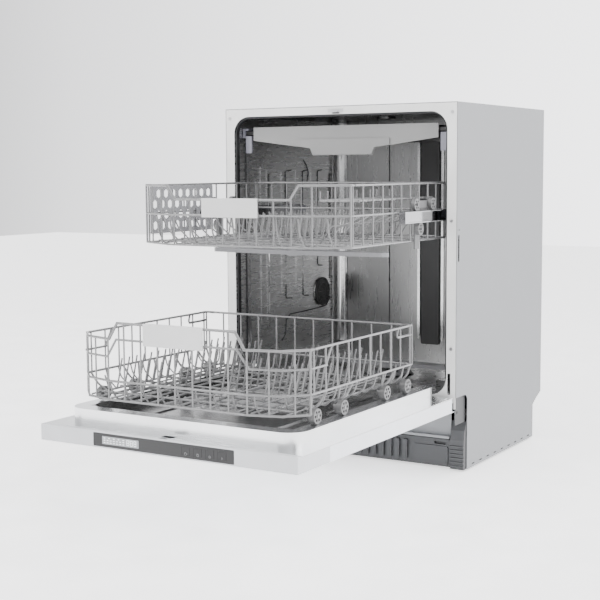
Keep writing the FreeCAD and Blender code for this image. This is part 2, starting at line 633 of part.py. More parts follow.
shelf = [bar((150, y, 610), (240, y, 610), 1.7) for y in steps(-330, 0, 12)]
shelf += [bar((x, -332, 611.5), (x, 2, 611.5), 2.0) for x in (152, 196, 239)]
shelf += [bar((152, y, 611), (152, y, 630), 1.7) for y in steps(-330, 0, 12)]
own_shape("cup_shelf_right", weld(shelf))

# ================================================================ lower rack
L_FLOOR, L_LOW, L_MID, L_RIM = 230.0, 267.0, 314.0, 349.0
L_BACK, L_CORNER, L_FRONT, L_SIDE = -142.0, -556.0, -613.0, 262.0
lower_walls = []
bow = [(-L_SIDE, L_CORNER), (-225, -595), (-157, L_FRONT), (157, L_FRONT), (225, -595), (L_SIDE, L_CORNER)]


def bow_y(x):
    """Front line of the lower rack at a given x."""
    for (xa, ya), (xb, yb) in zip(bow, bow[1:]):
        if xa <= x <= xb:
            return ya + (yb - ya) * (x - xa) / (xb - xa)
    return L_CORNER


front = bent([(-L_SIDE, L_CORNER, L_RIM), (-225, -595, L_RIM), (-157, L_FRONT, L_RIM), (-137, L_FRONT, 381),
              (137, L_FRONT, 381), (157, L_FRONT, L_RIM), (225, -595, L_RIM), (L_SIDE, L_CORNER, L_RIM)])
front += bent([(-L_SIDE, L_CORNER, L_MID), (-225, -595, L_MID), (-165, L_FRONT + 3, L_MID), (-140, L_FRONT, L_RIM),
               (140, L_FRONT, L_RIM), (165, L_FRONT + 3, L_MID), (225, -595, L_MID), (L_SIDE, L_CORNER, L_MID)], 2.2)
for z in (L_LOW, L_FLOOR):
    front += bent([(x, y, z) for x, y in bow], 2.4)
for x in steps(-242, 242, 13):
    y = bow_y(x)
    top = 381 if abs(x) < 137 else L_RIM
    front.append(bar((x, y, L_FLOOR), (x, y, top), THIN_WIRE))
for x in (-L_SIDE, L_SIDE):
    front.append(bar((x, L_CORNER, L_FLOOR), (x, L_CORNER, L_RIM), 2.2))
lower_walls += split(weld(front), (-225, -157, 157, 225))
rear_wires = [bar((-L_SIDE, L_BACK, z), (L_SIDE, L_BACK, z), 2.4) for z in (L_LOW, L_RIM)]
rear_wires.append(bar((-225, L_BACK, L_FLOOR), (225, L_BACK, L_FLOOR), 2.4))
rear_wires += [bar((x, L_BACK, L_FLOOR if abs(x) < 225 else L_LOW), (x, L_BACK, L_RIM), THIN_WIRE)
               for x in steps(-L_SIDE, L_SIDE, 12)]
lower_walls.append(weld(rear_wires))
for sign in (-1, 1):
    sx = sign * L_SIDE
    side = [bar((sx, L_CORNER + 6, z), (sx, L_BACK - 6, z), 2.4) for z in (L_LOW, L_RIM)]
    side += [bar((sx, L_CORNER + 6, L_MID), (sx, L_CORNER + 60, L_MID), 2.2), bar((sx, L_BACK - 66, 330), (sx, L_BACK - 6, 330), 2.2)]
    side += [bar((sx, y, L_LOW), (sx, y, L_RIM), THIN_WIRE) for y in steps(L_CORNER + 12, L_BACK - 10, 10)]
    lower_walls.append(weld(side))
deck = [bar((x, bow_y(x) + 8, L_FLOOR + 1), (x, L_BACK - 6, L_FLOOR + 1), 1.8) for x in steps(-228, 228, 15)]
deck += [bar((-230, y, L_FLOOR + 3.4), (230, y, L_FLOOR + 3.4), 2.2) for y in steps(-560, -160, 7)]
WHEEL_YS = (-522.0, -420.0, -243.0, -150.0)
for sign in (-1, 1):
    deck += [bar((sign * 228, y, L_FLOOR + 2), (sign * 240.5, y, L_FLOOR + 2), 2.2) for y in WHEEL_YS]
lower_walls.append(weld(deck))
for x in (-200, -150, -100, 150, 200):
    row = [bar((x, y, L_FLOOR + 7.8), (x + 14, y, L_FLOOR + 70), 1.7) for y in steps(-540, -180, 16)]
    row.append(bar((x, -556, L_FLOOR + 7.8), (x, -164, L_FLOOR + 7.8), 2.0))
    lower_walls.append(weld(row))
axle_bits = []
for sign in (-1, 1):
    for y in WHEEL_YS:
        hub = bar((sign * 236, y, SIZES["lower_wheel_level"]), (sign * 244.8, y, SIZES["lower_wheel_level"]), 8.0)
        stub = bar((sign * 244, y, SIZES["lower_wheel_level"]), (sign * 258.5, y, SIZES["lower_wheel_level"]), SIZES["stub_radius"])
        axle_bits.append(weld([hub, stub]))
own_shape("lower_basket", Part.makeCompound(lower_walls + axle_bits))

for side, sign in (("left", -1), ("right", 1)):
    for n, y in enumerate(WHEEL_YS, start=1):
        wheel = Piece("wheel_%s_%d" % (side, n))
        x0 = 245.2 if sign > 0 else -245.2 - SIZES["lower_wheel_width"]
        wheel.pad("YZ", x0, x0 + SIZES["lower_wheel_width"], disc(0, 0, SIZES["lower_wheel_radius"]),
                  disc(0, 0, SIZES["stub_radius"] + GAP), alias="dims.lower_wheel_width")
        face = (253, 258) if sign > 0 else (-258, -253)
        holes = [disc(8.6 * math.cos(a), 8.6 * math.sin(a), 2.7) for a in [k * math.pi / 3 for k in range(6)]]
        wheel.cut("YZ", face[0], face[1], *holes)
        wheel.move(0, y, SIZES["lower_wheel_level"], {"z": "dims.lower_wheel_level"})

grip = Piece("lower_handle")
grip.pad("XY", 342, 384, rounded(-69, -622, 69, -616.2, 2))
grip.pad("XY", 378.4, 384, rect(-67, -617, 67, -609))
grip.cut("XZ", -616.4, -600, rect(-137, 378, 137, 383.9))

tines = [bar((50, -540, 240), (50, -180, 240), 2.2)]
tines += [bar((50, y, 240), (62, y, 300), 1.7) for y in steps(-535, -185, 15)]
own_shape("tine_row_folding", weld(tines))

# ================================================================ cutlery tray
tray_front = Piece("tray_front_panel")
nodes.remove(tray_front.body)
tray_front.pad("XZ", 30, 33, corners([(-240, 772), (-240, 741), (-85, 721), (-77, 705), (77, 705), (85, 721),
                                      (240, 741), (240, 772)]))
tray_front.pad("XZ", 27, 31, corners([(-122, 742), (-122, 727), (-84, 722), (-76, 706), (76, 706), (84, 722),
                                      (122, 727), (122, 742)]))
tray_bits = [bar((x, 35.2, 741), (x, 450, 741), 1.5) for x in steps(-225, 225, 31)]
tray_bits += [bar((-227, y, 742), (227, y, 742), 2.0) for y in steps(60, 450, 9)]
edge = box("tray_rim_r", (229.2, 33.05, 740), (233, 452, 768))
edge2 = box("tray_rim_l", (-233, 33.05, 740), (-229.2, 452, 768))
edge3 = box("tray_rim_b", (-233, 452.1, 740), (233, 455, 768))
runner_r = box("tray_runner_r", (233.05, 36, 755), (264, 452, 763))
runner_l = box("tray_runner_l", (-264, 36, 755), (-233.05, 452, 763))
tray_mesh = doc.addObject("Part::Feature", "tray_mesh")
tray_mesh.Shape = weld(tray_bits)
keep(group("cutlery_tray", [tray_front.body, edge, edge2, edge3, runner_r, runner_l, tray_mesh]))

# ================================================================ check and export
doc.recompute()
# the whole machine moves back so that the origin lies under the middle of its outline
shift = V(0, (SIZES["door_end"] - DEEP) / 2, 0)
for obj in nodes:
    obj.Placement = FreeCAD.Placement(obj.Placement.Base + shift, obj.Placement.Rotation)
doc.recompute()
for obj in doc.Objects:
    if any(word in ("Invalid", "Error") for word in obj.State):
        raise RuntimeError("%s is %s" % (obj.Label, obj.State))
if len(nodes) > 60:
    raise RuntimeError("too many nodes")
for obj in nodes:
    shape = obj.Shape
    if shape.isNull() or not shape.isValid() or not shape.Solids:
        raise RuntimeError("%s has no valid solid" % obj.Label)
    shape.exportStep("parts/%s.step" % obj.Label)
    b = shape.BoundBox
    print("%-22s solids %2d  x %7.1f %7.1f  y %7.1f %7.1f  z %7.1f %7.1f" % (
        obj.Label, len(shape.Solids), b.XMin, b.XMax, b.YMin, b.YMax, b.ZMin, b.ZMax))
print("nodes", len(nodes))
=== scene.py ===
import json
import math

import bmesh
import bpy
from mathutils import Matrix, Vector


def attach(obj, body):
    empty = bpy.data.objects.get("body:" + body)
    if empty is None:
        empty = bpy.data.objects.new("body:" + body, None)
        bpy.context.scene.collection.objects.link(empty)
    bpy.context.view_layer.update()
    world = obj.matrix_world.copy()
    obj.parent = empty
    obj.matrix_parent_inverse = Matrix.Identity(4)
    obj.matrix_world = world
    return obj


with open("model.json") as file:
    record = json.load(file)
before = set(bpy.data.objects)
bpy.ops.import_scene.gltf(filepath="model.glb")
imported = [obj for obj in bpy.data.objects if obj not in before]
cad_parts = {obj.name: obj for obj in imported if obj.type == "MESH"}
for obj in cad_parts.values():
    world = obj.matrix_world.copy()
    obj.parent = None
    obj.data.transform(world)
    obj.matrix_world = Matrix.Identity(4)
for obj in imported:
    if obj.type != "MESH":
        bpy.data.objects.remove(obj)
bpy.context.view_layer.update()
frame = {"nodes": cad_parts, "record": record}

# the CAD's own origin sits this far behind the front frame's face
BACK = 0.0695


# ------------------------------------------------------------------ materials
def new_material(name, color, rough, metal=0.0, coat=0.0, spec=0.5):
    m = bpy.data.materials.new(name)
    m.use_nodes = True
    b = m.node_tree.nodes["Principled BSDF"]
    b.inputs["Base Color"].default_value = (*color, 1)
    b.inputs["Roughness"].default_value = rough
    b.inputs["Metallic"].default_value = metal
    b.inputs["Coat Weight"].default_value = coat
    b.inputs["Specular IOR Level"].default_value = spec
    return m, m.node_tree.nodes, m.node_tree.links, b


def coords(nodes, links, scale=(1, 1, 1)):
    tc = nodes.new("ShaderNodeTexCoord")
    mp = nodes.new("ShaderNodeMapping")
    mp.inputs["Scale"].default_value = scale
    links.new(tc.outputs["Object"], mp.inputs["Vector"])
    return mp.outputs["Vector"]


def noise(nodes, links, vector, scale, detail=4.0, rough=0.55):
    n = nodes.new("ShaderNodeTexNoise")
    n.inputs["Scale"].default_value = scale
    n.inputs["Detail"].default_value = detail
    n.inputs["Roughness"].default_value = rough
    links.new(vector, n.inputs["Vector"])
    return n.outputs["Fac"]


def ramp(nodes, links, fac, stops):
    r = nodes.new("ShaderNodeValToRGB")
    e = r.color_ramp.elements
    while len(e) < len(stops):
        e.new(0.5)
    for el, (pos, col) in zip(e, stops):
        el.position = pos
        el.color = (*col, 1)
    links.new(fac, r.inputs["Fac"])
    return r.outputs["Color"]


def spread(nodes, links, fac, low, high):
    m = nodes.new("ShaderNodeMapRange")
    m.inputs["To Min"].default_value = low
    m.inputs["To Max"].default_value = high
    m.inputs["From Min"].default_value = 0.3
    m.inputs["From Max"].default_value = 0.7
    links.new(fac, m.inputs["Value"])
    return m.outputs["Result"]


def bump(nodes, links, bsdf, fac, strength, distance):
    b = nodes.new("ShaderNodeBump")
    b.inputs["Strength"].default_value = strength
    b.inputs["Distance"].default_value = distance
    links.new(fac, b.inputs["Height"])
    links.new(b.outputs["Normal"], bsdf.inputs["Normal"])


def shade(c, k):
    return tuple(min(1.0, v * k) for v in c)


def moulded(name, color, rough=0.42, grain=900.0, depth=0.00012, coat=0.0):
    """Moulded plastic or powder coat: fine grain and slow patches of sheen."""
    m, n, l, b = new_material(name, color, rough, 0.0, coat)
    v = coords(n, l)
    fine = noise(n, l, v, grain, 3.0)
    slow = noise(n, l, v, 9.0, 2.0)
    l.new(ramp(n, l, slow, [(0.3, shade(color, 0.94)), (0.7, shade(color, 1.05))]), b.inputs["Base Color"])
    l.new(spread(n, l, slow, rough - 0.05, rough + 0.07), b.inputs["Roughness"])
    bump(n, l, b, fine, 0.18, depth)
    return m


def metal(name, color, rough=0.28, stretch=(4, 4, 160), depth=0.00006, scale=6.0):
    """Rolled or brushed sheet: fine lines along one axis and slow smears."""
    m, n, l, b = new_material(name, color, rough, 1.0)
    v = coords(n, l, stretch)
    lines = noise(n, l, v, scale, 6.0, 0.7)
    slow = noise(n, l, coords(n, l), 5.0, 2.0)
    l.new(ramp(n, l, slow, [(0.25, shade(color, 0.90)), (0.75, shade(color, 1.06))]), b.inputs["Base Color"])
    l.new(spread(n, l, lines, rough - 0.03, rough + 0.05), b.inputs["Roughness"])
    bump(n, l, b, lines, 0.008, depth)
    return m


MATS = {
    "white_sheet": moulded("enamel_white", (0.80, 0.80, 0.79), 0.34, 500.0, 0.00004, 0.25),
    "side_sheet": moulded("coated_side_steel", (0.225, 0.23, 0.238), 0.55, 1400.0, 0.00008),
    "tub_steel": metal("tub_stainless", (0.60, 0.60, 0.60), 0.27, (2, 2, 24)),
    "liner_steel": metal("liner_stainless", (0.74, 0.75, 0.76), 0.20, (90, 3, 3)),
    "fascia_grey": moulded("silver_grey_paint", (0.56, 0.57, 0.59), 0.38, 1200.0, 0.00005, 0.1),
    # base plastic, also used as painted shade in the walls' pressed channels
    "dark_plastic": moulded("dark_base_plastic_and_painted_shade", (0.045, 0.046, 0.048), 0.50, 700.0, 0.00020),
    "black_rubber": moulded("seal_rubber", (0.012, 0.012, 0.013), 0.45, 500.0, 0.00020),
    "window_black": moulded("window_gloss", (0.010, 0.010, 0.011), 0.34, 300.0, 0.00001, 0.0),
    "key_black": moulded("key_satin", (0.009, 0.009, 0.010), 0.36, 600.0, 0.00003),
    "grey_plastic": moulded("light_grey_plastic", (0.36, 0.36, 0.365), 0.42),
    "mid_plastic": moulded("mid_grey_plastic", (0.22, 0.22, 0.23), 0.45),
    "handle_plastic": moulded("handle_grey", (0.60, 0.60, 0.60), 0.30, 900.0, 0.00005, 0.2),
    "rack_wire": moulded("coated_wire", (0.17, 0.17, 0.172), 0.26, 1500.0, 0.00004, 0.5),
    "rail_steel": metal("rail_bright_steel", (0.34, 0.34, 0.35), 0.10, (90, 3, 90)),
    "ballast": moulded("cast_block", (0.24, 0.235, 0.23), 0.85, 120.0, 0.0010),
    "zinc": metal("plated_zinc", (0.62, 0.62, 0.63), 0.32, (30, 30, 30)),
}


def front_with_painted_shade(name, front, behind, start, end, rough=0.42):
    """Moulded plastic that darkens from start to end (metres, back from the front); the darker part is painted shade
    with a woven pattern.
    """
    m, n, l, b = new_material(name, front, rough)
    v = coords(n, l)
    split = n.new("ShaderNodeSeparateXYZ")
    l.new(v, split.inputs["Vector"])
    reach = n.new("ShaderNodeMapRange")
    reach.inputs["From Min"].default_value = start
    reach.inputs["From Max"].default_value = end
    l.new(split.outputs["Y"], reach.inputs["Value"])
    mix = n.new("ShaderNodeMix")
    mix.data_type = "RGBA"
    l.new(reach.outputs["Result"], mix.inputs["Factor"])
    slow = noise(n, l, v, 9.0, 2.0)
    weave = noise(n, l, coords(n, l, (1, 6, 1)), 320.0, 3.0)
    l.new(ramp(n, l, slow, [(0.3, shade(front, 0.95)), (0.7, shade(front, 1.04))]), mix.inputs["A"])
    # painted shade: the behind colour, with a woven pattern
    l.new(ramp(n, l, weave, [(0.35, shade(behind, 0.6)), (0.65, shade(behind, 1.5))]), mix.inputs["B"])
    l.new(mix.outputs["Result"], b.inputs["Base Color"])
    l.new(spread(n, l, slow, rough - 0.05, rough + 0.07), b.inputs["Roughness"])
    return m


def liner_metal_painted_shade():
    """Pressed stainless with painted shade: the recess painted darker as shade, bright on the rim's flank."""
    m, n, l, b = new_material("liner_painted_recess_shade", (0.7, 0.7, 0.7), 0.22, 1.0)
    v = coords(n, l)
    parts = n.new("ShaderNodeSeparateXYZ")
    l.new(v, parts.inputs["Vector"])
    lift = n.new("ShaderNodeMapRange")
    lift.inputs["From Min"].default_value = 0.170
    lift.inputs["From Max"].default_value = 0.210
    l.new(parts.outputs["Z"], lift.inputs["Value"])
    inside = n.new("ShaderNodeMapRange")
    inside.inputs["From Min"].default_value = -0.5145
    inside.inputs["From Max"].default_value = -0.5095
    l.new(parts.outputs["Y"], inside.inputs["Value"])
    within = n.new("ShaderNodeMath")
    within.operation = "ABSOLUTE"
    l.new(parts.outputs["X"], within.inputs[0])
    side = n.new("ShaderNodeMapRange")
    side.inputs["From Min"].default_value = 0.2415
    side.inputs["From Max"].default_value = 0.2375
    l.new(within.outputs[0], side.inputs["Value"])
    painted_shade_mask = n.new("ShaderNodeMath")
    painted_shade_mask.operation = "MULTIPLY"
    l.new(inside.outputs["Result"], painted_shade_mask.inputs[0])
    l.new(side.outputs["Result"], painted_shade_mask.inputs[1])
    slow = noise(n, l, v, 5.0, 2.0)
    bright = ramp(n, l, slow, [(0.25, (0.74, 0.75, 0.76)), (0.75, (0.88, 0.89, 0.90))])
    # painted shade in the recess of the door's liner
    painted_recess_shade = ramp(n, l, slow, [(0.25, (0.22, 0.22, 0.22)), (0.75, (0.34, 0.34, 0.34))])
    mix = n.new("ShaderNodeMix")
    mix.data_type = "RGBA"
    l.new(painted_shade_mask.outputs[0], mix.inputs["Factor"])
    l.new(bright, mix.inputs["A"])
    l.new(painted_recess_shade, mix.inputs["B"])
    l.new(mix.outputs["Result"], b.inputs["Base Color"])
    lines = noise(n, l, coords(n, l, (90, 3, 3)), 6.0, 6.0, 0.7)
    l.new(spread(n, l, lines, 0.20, 0.27), b.inputs["Roughness"])
    bump(n, l, b, lines, 0.02, 0.00006)
    return m


OWN = {
    "door_liner": liner_metal_painted_shade(),
    # cutlery tray: all of it behind its front panel is painted near-black as the shade under the tray, with a woven
    # mesh pattern
    "cutlery_tray": front_with_painted_shade("tray_plastic_painted_shade", (0.25, 0.25, 0.248), (0.022, 0.022, 0.022), BACK + 0.0331, BACK + 0.0345),
    # back wall: the tub's stainless painted darker, as painted shade deep in the tub
    "tub_back": metal("tub_rear_steel_painted_shade", (0.42, 0.42, 0.42), 0.28, (24, 2, 2)),
    "wall_rails": moulded("rail_end_plastic", (0.22, 0.22, 0.26), 0.40),
    "upper_rack_fittings": moulded("roller_carrier", (0.13, 0.13, 0.132), 0.40),
    # tub ceiling: the tub's stainless painted much darker, as painted shade under the top
    "tub_ceiling": metal("ceiling_steel_painted_shade", (0.20, 0.20, 0.20), 0.22, (3, 120, 3)),
    "door_outer_panel": moulded("outer_sheet_white", (0.80, 0.82, 0.86), 0.40, 1200.0, 0.00005, 0.1),
}
WHEEL = moulded("wheel_plastic", (0.13, 0.13, 0.131), 0.38, 800.0, 0.00006)
for name in frame["nodes"]:
    if name.startswith(("wheel_", "roller_")):
        OWN[name] = WHEEL
slot_of = {s["node"]: s["material_slot"] for s in frame["record"]["subparts"]}
for name, obj in frame["nodes"].items():
    for s in obj.material_slots:
        s.material = OWN.get(name, MATS[slot_of[name]])

# ------------------------------------------------------------------ helpers for added pieces
def at(x, y, z):
    """A point given in millimetres from the front frame, in the model's own frame."""
    return Vector((x / 1000, y / 1000 + BACK, z / 1000))


def add_mesh(name, bm, body, slot, mat=None, smooth=True):
    bmesh.ops.recalc_face_normals(bm, faces=bm.faces)
    me = bpy.data.meshes.new(name)
    bm.to_mesh(me)
    bm.free()
    for p in me.polygons:
        p.use_smooth = smooth
    o = bpy.data.objects.new(name, me)
    bpy.context.scene.collection.objects.link(o)
    me.materials.append(mat or MATS[slot])
    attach(o, body)
    return o


def softened(points, bend, closed=False):
    """Points with each corner cut into a short arc."""
    out = []
    n = len(points)
    for i, p in enumerate(points):
        if not closed and i in (0, n - 1):
            out.append(p)
            continue
        a, b = points[i - 1], points[(i + 1) % n]
        u, v = a - p, b - p
        d = min(bend, u.length * 0.45, v.length * 0.45)
        s, e = p + u.normalized() * d, p + v.normalized() * d
        for k in range(5):
            t = k / 4
            out.append((1 - t) ** 2 * s + 2 * t * (1 - t) * p + t * t * e)
    return out


def tube_into(bm, points, r, sides=8, closed=False):
    """Round wire along points, with rings turned to follow it."""
    n = len(points)
    rings = []
    normal = None
    for i, p in enumerate(points):
        before = points[i - 1] if (i or closed) else p
        after = points[(i + 1) % n] if (i < n - 1 or closed) else p
        d = (after - before).normalized()
        if normal is None:
            normal = d.orthogonal().normalized()
        normal = (normal - d * normal.dot(d)).normalized()
        side = d.cross(normal)
        rings.append([bm.verts.new(p + r * (math.cos(2 * math.pi * k / sides) * normal
                                            + math.sin(2 * math.pi * k / sides) * side))
                      for k in range(sides)])
    pairs = list(zip(rings, rings[1:])) + ([(rings[-1], rings[0])] if closed else [])
    for a, b in pairs:
        for k in range(sides):
            bm.faces.new((a[k], a[(k + 1) % sides], b[(k + 1) % sides], b[k]))
    if not closed:
        bm.faces.new(rings[0][::-1])
        bm.faces.new(rings[-1])


def wires(name, paths, body, slot="rack_wire", r=1.8, bend=7):
    bm = bmesh.new()
    for path in paths:
        radius, pts = (path[0], path[1:]) if isinstance(path[0], (int, float)) else (r, path)
        tube_into(bm, softened([at(*p) for p in pts], bend / 1000), radius / 1000)
    return add_mesh(name, bm, body, slot)


def steps(a, b, n):
    return [a + (b - a) * i / (n - 1) for i in range(n)]


def rounded_plate(bm, x0, x1, z0, z1, y, depth, r, seg=5):
    """Plate facing -Y with rounded corners: front at y, back at y + depth (mm)."""
    ring = []
    for cx, cz, a0 in ((x1 - r, z0 + r, -90), (x1 - r, z1 - r, 0), (x0 + r, z1 - r, 90), (x0 + r, z0 + r, 180)):
        for k in range(seg + 1):
            a = math.radians(a0 + 90 * k / seg)
            ring.append((cx + r * math.cos(a), cz + r * math.sin(a)))
    front = [bm.verts.new(at(x, y, z)) for x, z in ring]
    back = [bm.verts.new(at(x, y + depth, z)) for x, z in ring]
    bm.faces.new(front)
    bm.faces.new(back[::-1])
    n = len(ring)
    for i in range(n):
        bm.faces.new((front[i], back[i], back[(i + 1) % n], front[(i + 1) % n]))


# ------------------------------------------------------------------ lower rack: joins, feet and wheel carriers
bits = []
for s in (-1, 1):
    for z, r in ((349, 2.6), (267, 2.4)):
        bits.append([r, (s * 225, -595, z), (s * 262, -556, z), (s * 262, -540, z)])
        bits.append([r, (s * 262, -160, z), (s * 262, -142, z), (s * 240, -142, z)])
    bits.append([2.2, (s * 262, -560, 314), (s * 262, -500, 314), (s * 262, -478, 349)])
    bits.append([2.2, (s * 262, -206, 349), (s * 262, -212, 331), (s * 262, -144, 331)])
    for y in (-522, -420, -243, -155):
        bits.append([2.2, (s * 261, y - 26, 267), (s * 252, y - 16, 243), (s * 236, y - 3, 226), (s * 228, y, 226)])
        bits.append([2.2, (s * 261, min(y + 26, -146), 267), (s * 252, min(y + 16, -146), 243),
                     (s * 236, y + 3, 226), (s * 228, y, 226)])
for x in steps(-210, 210, 11):
    y = -610 if abs(x) < 160 else -610 + (abs(x) - 160) * 0.9
    bits.append([1.8, (x, y, 267), (x, y + 12, 238), (x, y + 26, 224), (x, y + 70, 224), (x, y + 86, 231)])
for y in steps(-500, -180, 9):
    for s in (-1, 1):
        bits.append([1.7, (s * 262, y, 267), (s * 256, y, 246), (s * 236, y, 229), (s * 224, y, 231)])
for x in steps(-225, 225, 10):
    bits.append([1.7, (x, -142, 267), (x, -148, 240), (x, -166, 230), (x, -190, 231)])
wires("lower_rack_extra_wires", bits, "lower_rack")

# ------------------------------------------------------------------ upper rack extras
bits = []
for s in (-1, 1):
    for z, r in ((642, 2.6), (583, 2.2), (522, 2.2)):
        bits.append([r, (s * 200, -398, z), (s * 246, -375, z), (s * 246, -358, z)])
        bits.append([r, (s * 246, 40, z), (s * 246, 54, z), (s * 228, 54, z)])
for x in steps(-205, 205, 9):
    y = -419 if abs(x) < 157 else -419 + (abs(x) - 157) * 0.5
    bits.append([1.8, (x, y, 583), (x, y + 8, 545), (x, y + 24, 521.5), (x, y + 60, 521.5)])
for y in steps(-330, 20, 10):
    bits.append([1.7, (150, y, 524), (176, y, 560), (214, y, 566), (243, y, 583)])
    bits.append([1.7, (-243, y, 583), (-226, y, 548), (-196, y, 524)])
wires("upper_rack_extra_wires", bits, "upper_rack")


# ------------------------------------------------------------------ wash tub: corner folds, water duct, vent
def plate_x(bm, x, y0, y1, z0, z1, thick):
    """Thin plate standing on a side wall: its back at x, its face thick away from it (mm)."""
    face = [bm.verts.new(at(x + thick, y, z)) for y, z in ((y0, z0), (y1, z0), (y1, z1), (y0, z1))]
    rear = [bm.verts.new(at(x, y, z)) for y, z in ((y0, z0), (y1, z0), (y1, z1), (y0, z1))]
    bm.faces.new(face)
    bm.faces.new(rear[::-1])
    for i in range(4):
        bm.faces.new((face[i], rear[i], rear[(i + 1) % 4], face[(i + 1) % 4]))


def corner_fold(name, sign):
    """Quarter-round fold between a side wall and the back of the tub."""
    r = 30.0
    bm = bmesh.new()
    rows = []
    for z in (208.5, 795.5):
        rows.append([bm.verts.new(at(sign * (274.6 - r + r * math.cos(a)), 491.5 - r + r * math.sin(a), z))
                     for a in [math.radians(90 * k / 12) for k in range(13)]])
    for k in range(12):
        bm.faces.new((rows[0][k], rows[0][k + 1], rows[1][k + 1], rows[1][k]))
    return add_mesh(name, bm, "cabinet", "tub_steel", FOLD)


FOLD = metal("fold_steel", (0.62, 0.62, 0.62), 0.12, (3, 3, 60))
DUCT = moulded("duct_plastic", (0.055, 0.055, 0.056), 0.40, 500.0, 0.00008)
# near-black plastic for the vents and the docking port, also used as painted shade on the walls' front rib
VENT_BLACK_AND_SHADE = moulded("vent_black_and_painted_shade", (0.030, 0.030, 0.031), 0.38, 500.0, 0.00008)
# painted highlight: a brighter copy of the tub's stainless, for the wall strips, the duct beads and the channels'
# straight lengths
HIGHLIGHT_STEEL = metal("steel_painted_highlight", (0.78, 0.78, 0.78), 0.16, (3, 3, 60))
# front rib of each side wall: a near-black band as its painted shade, and a bright steel strip as its painted
# highlight
for label, sign in (("left", -1), ("right", 1)):
    corner_fold("tub_corner_fold_" + label, sign)
    for part, y0, y1, mat in (("painted_shade_band", 43, 47.5, VENT_BLACK_AND_SHADE), ("strip", 48, 64, HIGHLIGHT_STEEL)):
        bm = bmesh.new()
        plate_x(bm, sign * 274.9, y0, y1, 207.5, 735, -sign * 1.2)
        add_mesh("wall_%s_%s" % (part, label), bm, "cabinet", "tub_steel", mat, False)

bm = bmesh.new()
rounded_plate(bm, -21, 31, 214, 770, 487.5, 4.0, 4)
add_mesh("water_duct", bm, "cabinet", "dark_plastic", DUCT, False)
# duct beads: steel beads in the bright steel, a painted highlight
bm = bmesh.new()
for x in (-29, 39):
    rounded_plate(bm, x - 3.5, x + 3.5, 226, 770, 489.5, 2.2, 3)
add_mesh("duct_beads", bm, "cabinet", "tub_steel", HIGHLIGHT_STEEL, False)
bm = bmesh.new()
tube_into(bm, [at(0, 487.6, 514), at(0, 486.9, 514)], 0.0085, 24)
for x in (-25.2, 34.8):
    tube_into(bm, [at(x, 490.4, 236), at(x, 490.4, 765)], 0.0009, 6)
tube_into(bm, [at(-116, 491.4, 262), at(-116, 491.4, 765)], 0.0009, 6)
add_mesh("docking_port", bm, "cabinet", "dark_plastic", VENT_BLACK_AND_SHADE, False)

bm = bmesh.new()
tube_into(bm, [at(-273.0, 405, 349), at(-270.4, 405, 349)], 0.0375, 40)
add_mesh("wall_vent_disc", bm, "cabinet", "dark_plastic", VENT_BLACK_AND_SHADE, False)
bm = bmesh.new()
for r in (0.034, 0.024, 0.014):
    ring = [at(-270.2, 405, 349) + Vector((0, r * math.cos(a), r * math.sin(a)))
            for a in [2 * math.pi * k / 36 for k in range(36)]]
    tube_into(bm, ring, 0.0011, 6, True)
for k in range(6):
    a = math.pi * k / 3
    way = Vector((0, math.cos(a), math.sin(a)))
    tube_into(bm, [at(-270.2, 405, 349) + 0.008 * way, at(-270.2, 405, 349) + 0.034 * way], 0.0011, 6)
add_mesh("wall_vent_ribs", bm, "cabinet", "dark_plastic", DUCT, True)

# pressed water channels on the side walls: the hooked tips as painted shade in near-black, the straight lengths as
# painted highlight in bright steel
for label, sign in (("left", -1), ("right", 1)):
    sx = sign * 274.2
    shade_hooks = [[(sx, 451, 331), (sx, 429, 309), (sx, 387, 306), (sx, 294, 304), (sx, 246, 304), (sx, 225, 292),
             (sx, 222, 257), (sx, 205, 240)],
            [(sx, 314, 697), (sx, 329, 684), (sx, 339, 666), (sx, 333, 640)]]
    for y, foot, turn in ((224, 349, 22), (308, 349, 20), (384, 423, 16)):
        shade_hooks.append([(sx, y, foot + 9), (sx, y + 2, foot - 3), (sx, y + turn + 8, foot - 5)])
        shade_hooks.append([(sx, y, 655), (sx, y + 2, 669), (sx, y + turn + 8, 671)])
    wires("wall_channel_shade_" + label, shade_hooks, "cabinet", "dark_plastic", 1.5, 6)
    highlight_runs = [[(sx, y, foot), (sx, y, 662)] for y, foot in ((148, 283), (226, 356), (310, 356), (386, 430), (448, 380))]
    channel = wires("wall_channel_highlight_" + label, highlight_runs, "cabinet", "tub_steel", 1.3, 3)
    channel.data.materials[0] = HIGHLIGHT_STEEL

# ------------------------------------------------------------------ display: glowing panel, digits, key marks
m, n_, l_, b_ = new_material("lcd_panel", (0.28, 0.29, 0.30), 0.30)
v_ = coords(n_, l_)
l_.new(ramp(n_, l_, noise(n_, l_, v_, 60.0), [(0.3, (0.25, 0.26, 0.27)), (0.7, (0.32, 0.33, 0.34))]),
       b_.inputs["Base Color"])
b_.inputs["Emission Color"].default_value = (0.6, 0.66, 0.7, 1)
b_.inputs["Emission Strength"].default_value = 0.08
LCD = m
m, n_, l_, b_ = new_material("lcd_marks", (0.95, 0.97, 1.0), 0.4)
l_.new(ramp(n_, l_, noise(n_, l_, coords(n_, l_), 90.0), [(0.3, (0.85, 0.88, 0.92)), (0.7, (1, 1, 1))]),
       b_.inputs["Base Color"])
b_.inputs["Emission Color"].default_value = (0.9, 0.95, 1.0, 1)
b_.inputs["Emission Strength"].default_value = 0.35
MARK = m
m, n_, l_, b_ = new_material("key_marks", (0.40, 0.40, 0.41), 0.4)
l_.new(ramp(n_, l_, noise(n_, l_, coords(n_, l_), 90.0), [(0.3, (0.36, 0.36, 0.37)), (0.7, (0.46, 0.46, 0.47))]),
       b_.inputs["Base Color"])
ICON = m

